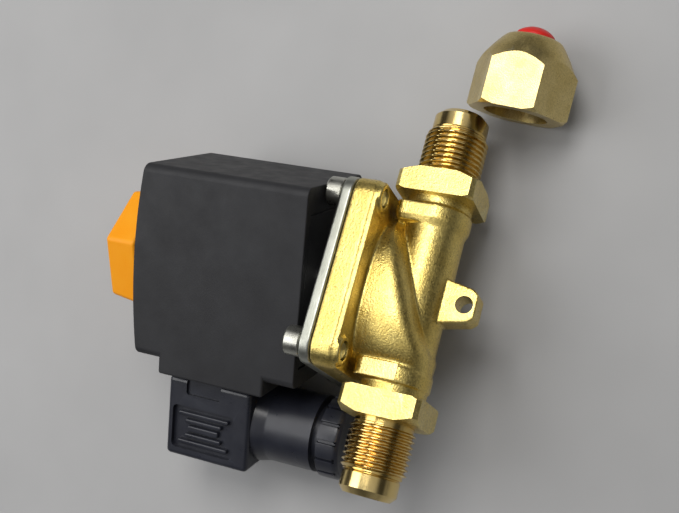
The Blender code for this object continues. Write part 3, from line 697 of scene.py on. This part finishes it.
def round_rectangle(half_x, half_y, radius, middle=(0.0, 0.0), steps=12):
    """Outline of a rectangle with round corners."""
    outline = []
    for quarter, (sx, sy) in enumerate(((1, 1), (-1, 1), (-1, -1), (1, -1))):
        for angle in np.linspace(quarter * math.pi / 2, (quarter + 1) * math.pi / 2, steps + 1):
            outline.append((middle[0] + sx * (half_x - radius) + radius * math.cos(angle),
                            middle[1] + sy * (half_y - radius) + radius * math.sin(angle)))
    return outline


def polygon(sides, across, turn=0.0):
    """Outline of a regular polygon of the given size across its flats."""
    radius = across / 2 / math.cos(math.pi / sides)
    angles = [turn + math.pi / sides + 2 * math.pi * i / sides for i in range(sides)]
    return [(radius * math.cos(a), radius * math.sin(a)) for a in angles]


# ---- valve body --------------------------------------------------------------------------------
def chamber_hull(stations=96, around=96):
    """Bowl under the diaphragm: upright wall and a shallow keel that rises towards the outlet."""
    work = bmesh.new()
    rings = []
    for turn in np.linspace(0, math.pi, stations + 1):
        if turn < math.pi / 2:
            x = CHAMBER_OUTLET_X * math.cos(turn)
            half_y = CHAMBER_HALF_Y * math.sin(turn)
        else:
            x = CHAMBER_INLET_X * math.cos(turn)
            half_y = CHAMBER_HALF_Y * math.sqrt(max(1 - abs(math.cos(turn)) ** 3, 0))
        wall = CHAMBER_TOP - max(CHAMBER_EDGE_Z + CHAMBER_RISE * x, CHAMBER_EDGE_LOW)
        ring = []
        for angle in np.linspace(0, math.pi, around + 1):
            across = abs(math.cos(angle)) ** (2 / CHAMBER_SQUARENESS)
            across = math.copysign(across, math.cos(angle))
            down = abs(math.sin(angle)) ** (2 / CHAMBER_SQUARENESS)
            z = CHAMBER_TOP - wall * down - CHAMBER_KEEL * (1 - across ** 2)
            ring.append(work.verts.new((x, half_y * across, z)))
        rings.append(ring)
    skin(work, rings)
    bmesh.ops.remove_doubles(work, verts=work.verts, dist=0.01 * MM)
    return to_mesh(work)


def waist_outline(half):
    """Section of the waist beside a collar: half round below, square with soft corners above."""
    points = [(half * math.cos(a), half * math.sin(a))
              for a in np.linspace(-math.pi / 2, math.pi / 2, 33)]
    middle = half - WAIST_CORNER
    for centre_y, first in ((middle, math.pi / 2), (-middle, math.pi)):
        for a in np.linspace(first, first + math.pi / 2, 8):
            points.append((WAIST_CORNER * math.cos(a) - middle,
                           centre_y + WAIST_CORNER * math.sin(a)))
    return points


def valve_forging():
    """Pipe run, diaphragm chamber, flange, bosses and lug as one blasted forging."""
    run_end = COLLAR_OUT - 1.5 * MM
    run = [(0, run_end), (NECK_R, run_end), (NECK_R, FLATS_OUT), (PIPE_R, FLATS_IN)]
    made = shape(turned(run + [(r, -z) for r, z in reversed(run)]))
    made.data.transform(along_x())
    for side in (1, -1):
        for inner_end, size in WAIST_STEPS:
            low, high = sorted((side * inner_end, side * FLATS_OUT))
            join(made, prism(waist_outline(FLATS_HALF * size), low, high), along_x())
    join(made, chamber_hull())
    for x, y in SCREW_PLACES:
        join(made, disc(BOSS_R, BOSS_LOW, FLANGE_LIP, 48), shift(x, y))
    outer = round_rectangle(FLANGE_HALF_X, FLANGE_HALF_Y, FLANGE_CORNER)
    inner = round_rectangle(FLANGE_HALF_X - FLANGE_STEP, FLANGE_HALF_Y - FLANGE_STEP,
                            FLANGE_CORNER - FLANGE_STEP)
    join(made, prism(inner, FLANGE_LOW, FLANGE_LIP + MM))
    join(made, prism(outer, FLANGE_LIP, FLANGE_TOP))
    lug = [(x * MM, z * MM) for x, z in LUG_OUTLINE]
    join(made, prism(lug, -LUG_HALF_THICK, LUG_HALF_THICK), ON_SIDE)
    cut(made, disc(BORE_R, -PIPE_REACH, PIPE_REACH), along_x())
    cut(made, disc(RECESS_R, RECESS_FLOOR, 25 * MM))
    forged(made, FORGING_VOXEL, FORGING_PASSES)
    cut(made, disc(LUG_HOLE_R, -10 * MM, 10 * MM, 64), shift(z=LUG_HOLE_Z) @ ON_SIDE)
    for x, y in SCREW_PLACES:
        cut(made, disc(BOSS_HOLE_R, 5 * MM, 30 * MM, 48), shift(x, y))
    piece("valve_forging", made, VALVE, "valve", ["valve_body"], forged_brass, 50.0)


def spanner_lands():
    """Machined faces on both sides of the inlet waist."""
    outline = round_rectangle((LAND_OUT - LAND_IN) / 2, (LAND_HIGH - LAND_LOW) / 2, 0.5 * MM,
                              (-(LAND_IN + LAND_OUT) / 2, (LAND_LOW + LAND_HIGH) / 2))
    inner, outer = FLATS_HALF - 0.3 * MM, FLATS_HALF + LAND_HEIGHT
    made = shape(prism(outline, inner, outer))
    join(made, prism(outline, -outer, -inner))
    made.data.transform(ON_SIDE)
    rounded(made, 0.05 * MM, 1, 40.0)
    piece("spanner_lands", made, VALVE, "valve", [], faced_brass)


def collar(side):
    """Square spanner collar with turned end faces."""
    made = shape(prism(round_rectangle(COLLAR_HALF, COLLAR_HALF, COLLAR_CORNER, steps=8),
                       COLLAR_IN, COLLAR_OUT))
    keep(made, turned([
        (0, COLLAR_OUT), (COLLAR_OUTER_FACE_R, COLLAR_OUT),
        (COLLAR_TURNED_R, COLLAR_OUT - 1.6 * MM), (COLLAR_TURNED_R, COLLAR_IN + 0.6 * MM),
        (COLLAR_INNER_FACE_R, COLLAR_IN), (0, COLLAR_IN)]))
    cut(made, disc(BORE_R + MM, 0, PIPE_REACH))
    rounded(made, 0.28 * MM, 3)
    piece(f"{END_NAMES[side]}_collar", made, port_frame(side), "valve", [], faced_brass)


def thread_radius(angle, x):
    """Radius of the flare port's outer surface at a turn angle and a distance along the port."""
    phase = (x - THREAD_PITCH * angle / (2 * math.pi)) / THREAD_PITCH % 1.0
    ridge = min(max(THREAD_CREST - abs(phase - 0.5) * THREAD_FLANK, 0.0), 1.0)
    fade_in = min(max((x - THREAD_START) / THREAD_FADE_IN, 0.0), 1.0)
    fade_out = min(max((THREAD_END - x) / THREAD_FADE_OUT, 0.0), 1.0)
    root = THREAD_R - THREAD_DEPTH
    return root + THREAD_DEPTH * ridge * min(fade_in, fade_out)


def flare_port(side):
    """Threaded flare port with its polished nose, 45 degree seat and bore."""
    steps = 128
    rows = [[(RELIEF_R, COLLAR_OUT - 0.5 * MM)] * steps]
    for x in np.arange(THREAD_START - 0.1 * MM, THREAD_END + 0.1 * MM, THREAD_PITCH / 14):
        rows.append([(thread_radius(2 * math.pi * i / steps, x), x) for i in range(steps)])
    plain = [(NOSE_R - 0.25 * MM, THREAD_END + 0.25 * MM),
             (NOSE_R - 0.2 * MM, THREAD_END + 0.5 * MM),
             (NOSE_R, THREAD_END + 0.75 * MM), (NOSE_R, NOSE_END), (TIP_R, TIP_END),
             (BORE_R + SEAT_WIDTH, TIP_END), (BORE_R, TIP_END - SEAT_WIDTH), (BORE_R, BORE_START)]
    rows += [[point] * steps for point in plain]
    work = bmesh.new()
    grid = []
    for row in rows:
        ring = []
        for i, (radius, x) in enumerate(row):
            angle = 2 * math.pi * i / steps
            ring.append(work.verts.new((radius * math.cos(angle), radius * math.sin(angle), x)))
        grid.append(ring)
    skin(work, grid)
    piece(f"{END_NAMES[side]}_port_thread", shape(to_mesh(work)), port_frame(side), "valve", [],
          turned_brass, 28.0)


# ---- cover plate and screws --------------------------------------------------------------------
def cover_plate():
    """Plated cover with a softly rounded rim."""
    outline = round_rectangle(FLANGE_HALF_X, FLANGE_HALF_Y, FLANGE_CORNER)
    made = shape(prism(outline, COVER_LOW, COVER_TOP))
    cut(made, disc(COVER_BORE_R, 0, 40 * MM))
    rounded(made, 0.75 * MM, 4, 60.0)
    piece("cover_plate_skin", made, VALVE, "valve", ["cover_plate"], cover_steel)


def cover_screw(number, x, y):
    """Socket head screw."""
    made = shape(turned([
        (0, HEAD_TOP), (HEAD_R - 0.6 * MM, HEAD_TOP), (HEAD_R, HEAD_TOP - 0.6 * MM),
        (HEAD_R, HEAD_LOW + 0.3 * MM), (HEAD_R - 0.3 * MM, HEAD_LOW), (SHANK_R, HEAD_LOW),
        (SHANK_R, SCREW_TIP + 0.6 * MM), (2.1 * MM, SCREW_TIP), (0, SCREW_TIP)], 64))
    socket = polygon(6, SOCKET_ACROSS, 0.3 * number)
    cut(made, prism(socket, HEAD_TOP - SOCKET_DEPTH, HEAD_TOP + MM))
    rounded(made, 0.12 * MM, 2)
    piece(f"cover_screw_{number}_fine", made, VALVE @ shift(x, y), "valve",
          [f"cover_screw_{number}"], screw_steel)


# ---- springs and diaphragm ---------------------------------------------------------------------
def spring(radius, wire_r, z0, z1, turns, per_turn=48, sides=12):
    """Compression spring about Z with half a flat turn at each end."""
    work = bmesh.new()
    rings = []
    for i in range(int(turns * per_turn) + 1):
        turn = i / per_turn
        rise = min(max((turn - 0.5) / (turns - 1), 0.0), 1.0)
        height = z0 + wire_r + (z1 - z0 - 2 * wire_r) * rise
        ring = []
        for k in range(sides):
            around = 2 * math.pi * k / sides
            reach = radius + wire_r * math.cos(around)
            ring.append(work.verts.new((reach * math.cos(2 * math.pi * turn),
                                        reach * math.sin(2 * math.pi * turn),
                                        height + wire_r * math.sin(around))))
        rings.append(ring)
    skin(work, rings)
    work.faces.new(rings[0])
    work.faces.new(rings[-1])
    return to_mesh(work)


def flattening(name, mesh, node, stuff):
    """Piece on the valve body that keeps a mesh of its own."""
    made = piece(name, shape(mesh), VALVE, "valve", [node], stuff)
    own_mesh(made)


def armature_spring():
    """Closing spring above the armature."""
    ends = (ARMATURE_SPRING_LOW, ARMATURE_SPRING_TOP)
    flattening("armature_spring_coil", spring(2.5 * MM, 0.3 * MM, *ends, 7), "armature_spring",
               stainless)


def diaphragm_spring():
    """Light spring above the diaphragm's insert."""
    ends = (DIAPHRAGM_SPRING_LOW, DIAPHRAGM_SPRING_TOP)
    flattening("diaphragm_spring_coil", spring(7.2 * MM, 0.35 * MM, *ends, 3.5),
               "diaphragm_spring", stainless)


def diaphragm_sheet():
    """Dished rubber sheet between the flange and the insert."""
    upper = [(SHEET_R, SHEET_RIM), (17.4 * MM, SHEET_RIM), (16.6 * MM, 18.5 * MM),
             (16.0 * MM, 18.1 * MM), (13.9 * MM, 15.9 * MM), (13.3 * MM, 15.5 * MM),
             (12.6 * MM, 15.4 * MM), (SHEET_HOLE_R, 15.4 * MM)]
    lower = [(SHEET_HOLE_R, 14.4 * MM), (13.0 * MM, 14.4 * MM), (13.8 * MM, 14.5 * MM),
             (14.5 * MM, 15.0 * MM), (16.5 * MM, 17.2 * MM), (17.1 * MM, 17.6 * MM),
             (17.8 * MM, 17.7 * MM), (SHEET_R, 17.7 * MM)]
    flattening("diaphragm_sheet", turned(upper + lower, ring=True), "diaphragm",
               rubber)


# ---- coil housing ------------------------------------------------------------------------------
def coil_housing():
    """Moulded coil block with a crowned top and the raised base for the connector."""
    drop = COIL_CROWN - COIL_EDGE_TOP
    crown = [(x, COIL_CROWN - drop * (x / COIL_X1) ** 2)
             for x in np.linspace(COIL_X1, COIL_X0, 41)]
    side = [(COIL_X0, COIL_LOW), (COIL_X1, COIL_LOW)] + crown
    made = shape(prism(side, -COIL_HALF_Y, COIL_HALF_Y))
    made.data.transform(ON_SIDE)
    middle = ((COIL_X0 + COIL_X1) / 2, 0.0)
    plan = round_rectangle((COIL_X1 - COIL_X0) / 2, COIL_HALF_Y, COIL_CORNER, middle)
    keep(made, prism(plan, 20 * MM, 90 * MM))
    rounded(made, 0.7 * MM, 4, 40.0)
    join(made, block((BASE_X, -COIL_HALF_Y, BASE_LOW),
                     (COIL_X0 + BASE_OVERLAP, BASE_HIGH_Y, BASE_TOP), 0.8 * MM))
    half_x, half_y = COIL_HOLLOW
    cut(made, block((-half_x, -half_y, 20 * MM), (half_x, half_y, COIL_HOLLOW_TOP)))
    cut(made, disc(COIL_BORE_R, 60 * MM, 100 * MM))
    piece("coil_housing_skin", made, COIL, "coil", ["coil_housing"], coil_plastic)


def coil_cap():
    """Tapered six-sided cap that holds the coil on its tube."""
    made = shape(prism(polygon(6, CAP_ACROSS), CAP_LOW, CAP_TOP))
    for vertex in made.data.vertices:
        if vertex.co.z > (CAP_LOW + CAP_TOP) / 2:
            vertex.co.x *= CAP_TAPER
            vertex.co.y *= CAP_TAPER
    rounded(made, 1.1 * MM, 5, 25.0)
    cut(made, disc(CAP_SEAL_R, 80 * MM, CAP_SEAL_TOP))
    cut(made, disc(CAP_HOLE_R, 80 * MM, CAP_HOLE_TOP))
    piece("coil_cap_skin", made, COIL @ Matrix.Rotation(CAP_TURN, 4, "Z"), "cap", ["coil_cap"],
          cap_orange, 20.0)


# ---- plug connector and gland ------------------------------------------------------------------
def side_prism(outline, side, inner, outer):
    """Prism between two distances from the connector's middle, to be turned by ON_SIDE."""
    low, high = sorted((side * inner, side * outer))
    return prism(outline, -high, -low)


def connector_housing():
    """Connector shell with recessed side panels, gland neck and spout."""
    made = shape(block((PLUG_X0, -PLUG_HALF_Y, PLUG_LOW), (PLUG_X1, PLUG_HALF_Y, PLUG_TOP),
                       1.6 * MM))
    outside = PLUG_HALF_Y + 2 * MM
    panel = round_rectangle(*PANEL_HALF, 1.6 * MM, PANEL_MIDDLE)
    notch = round_rectangle(*NOTCH_HALF, 0.8 * MM, NOTCH_MIDDLE, 5)
    for side in (-1, 1):
        cut(made, side_prism(panel, side, PLUG_HALF_Y - PANEL_DEPTH, outside), ON_SIDE)
        for x, half_width, half_length in PANEL_RIBS:
            outline = round_rectangle(half_width, half_length, 0.65 * MM, (x, PANEL_MIDDLE[1]), 6)
            rib = side_prism(outline, side, PLUG_HALF_Y - 2.2 * MM, PLUG_HALF_Y - 0.1 * MM)
            rib = rounded(shape(rib), 0.45 * MM, 4, 60.0)
            rib.data.transform(ON_SIDE)
            combine(made, rib, "UNION")
        cut(made, side_prism(notch, side, PLUG_HALF_Y - NOTCH_DEPTH, outside), ON_SIDE)
    gland = shift(x=gland_point.x)
    join(made, turned([
        (0, PLUG_LOW + 3 * MM), (12.9 * MM, PLUG_LOW + 3 * MM), (12.9 * MM, PLUG_LOW - 0.4 * MM),
        (12.6 * MM, 42.4 * MM), (12.1 * MM, 40.6 * MM), (GLAND_R, 39.8 * MM), (GLAND_R, NECK_END),
        (SPOUT_R, NECK_END), (SPOUT_R, SPOUT_END), (0, SPOUT_END)]), gland)
    cut(made, block((-57.5 * MM, -11.6 * MM, 47 * MM), (-30 * MM, 11.6 * MM, 70.2 * MM)))
    cut(made, disc(SPOUT_BORE_R, 0, 50 * MM), gland)
    tie = shift(z=TIE_Z) @ along_x()
    cut(made, disc(TIE_R, -70 * MM, -50 * MM, 48), tie)
    cut(made, disc(TIE_HEAD_R, -70 * MM, -59.5 * MM, 48), tie)
    rounded(made, 0.22 * MM, 2, 40.0)
    piece("connector_shell", made, COIL, "connector", ["connector_housing"], plug_plastic)


def gland_nut():
    """Gland nut with fourteen grip pads."""
    made = shape(turned([
        (GLAND_NUT_R, GLAND_NUT_TOP), (GLAND_NUT_R, 17.4 * MM), (12.3 * MM, 16.4 * MM),
        (11.5 * MM, GLAND_NUT_LOW), (GLAND_NUT_HOLE_R, GLAND_NUT_LOW),
        (GLAND_NUT_HOLE_R, GLAND_NUT_FLOOR), (GLAND_NUT_BORE_R, GLAND_NUT_FLOOR),
        (GLAND_NUT_BORE_R, GLAND_NUT_TOP)], 112, ring=True))
    depth, half_width = GRIP_GROOVE
    for i in range(GRIP_PADS):
        groove = block((GLAND_NUT_R - depth, -half_width, GRIP_START),
                       (GLAND_NUT_R + MM, half_width, GLAND_NUT_TOP + MM))
        cut(made, groove, Matrix.Rotation(2 * math.pi * i / GRIP_PADS, 4, "Z"))
    rounded(made, 0.2 * MM, 2, 35.0)
    piece("gland_nut_skin", made, GLAND, "gland_nut", ["gland_nut"], plug_plastic)


# ---- loose flare nut ---------------------------------------------------------------------------
def flare_nut():
    """Forged flare nut: turned hexagon and a narrowing neck."""
    made = shape(prism(polygon(6, NUT_ACROSS), 0, NUT_LENGTH))
    keep(made, turned([
        (0, NUT_LENGTH), (7.9 * MM, NUT_LENGTH), (8.4 * MM, NUT_LENGTH - 0.2 * MM),
        (8.8 * MM, NUT_LENGTH - 0.5 * MM), (9.7 * MM, 21.7 * MM), (10.6 * MM, 20.5 * MM),
        (11.5 * MM, 19.3 * MM), (12.3 * MM, 18.1 * MM), (13.1 * MM, 16.8 * MM),
        (13.7 * MM, 15.8 * MM), (14.7 * MM, 14.5 * MM), (NUT_TURNED_R, NUT_HEX_LEN),
        (NUT_TURNED_R, 1.2 * MM), (14.2 * MM, 0), (0, 0)]))
    cut(made, turned([
        (0, NUT_LENGTH + MM), (NUT_NECK_BORE_R, NUT_LENGTH + MM), (NUT_NECK_BORE_R, 18.6 * MM),
        (NUT_BORE_R, 14.2 * MM), (NUT_BORE_R, -MM), (0, -MM)]))
    rounded(made, 0.35 * MM, 3, 25.0)
    piece("flare_nut_skin", made, NUT, "flare_nut", ["flare_nut"], nut_brass)


def dust_plug():
    """Soft plug with a domed head."""
    top = NUT_LENGTH + DUST_PLUG_HEAD
    made = shape(turned([
        (0, top), (1.4 * MM, top - 0.05 * MM), (2.7 * MM, top - 0.3 * MM),
        (3.9 * MM, top - 0.8 * MM), (4.9 * MM, top - 1.4 * MM), (5.6 * MM, top - 2.0 * MM),
        (6.0 * MM, top - 2.7 * MM), (6.1 * MM, top - 4 * MM), (6.1 * MM, top - 8 * MM),
        (5.6 * MM, top - 9 * MM), (0, top - 9 * MM)]))
    piece("dust_plug_skin", made, NUT, "dust_plug", ["dust_plug"], plug_red)


# ---- build -------------------------------------------------------------------------------------
add_camera()
add_world()
add_floor(floor_material())
for light, settings in LIGHTS.items():
    add_area(light, *settings)
bpy.context.scene.view_settings.view_transform = "Standard"

valve_forging()
spanner_lands()
for end in (1, -1):
    collar(end)
    flare_port(end)
cover_plate()
for count, (screw_x, screw_y) in enumerate(SCREW_PLACES, start=1):
    cover_screw(count, screw_x, screw_y)
armature_spring()
diaphragm_spring()
diaphragm_sheet()
coil_housing()
coil_cap()
connector_housing()
gland_nut()
flare_nut()
dust_plug()

# Finishes of the solids that keep their own shape
kept_finishes = {
    "armature_tube": stainless, "armature": stainless, "fixed_core": stainless,
    "shading_ring": copper_wire, "diaphragm_insert": turned_brass, "pilot_seal": seal_white,
    "tube_seal": rubber, "coil_base": coil_plastic, "yoke_frame": zinc_steel, "bobbin": nylon,
    "winding": copper_wire, "line_blade": tinned, "neutral_blade": tinned, "earth_blade": tinned,
    "cap_seal": rubber, "connector_gasket": rubber, "terminal_block": plug_plastic,
    "connector_screw": screw_steel, "gland_grommet": rubber, "gland_washer": tinned,
}
for node, finish in kept_finishes.items():
    mesh = frame["nodes"][node].data
    mesh.materials.clear()
    mesh.materials.append(finish)
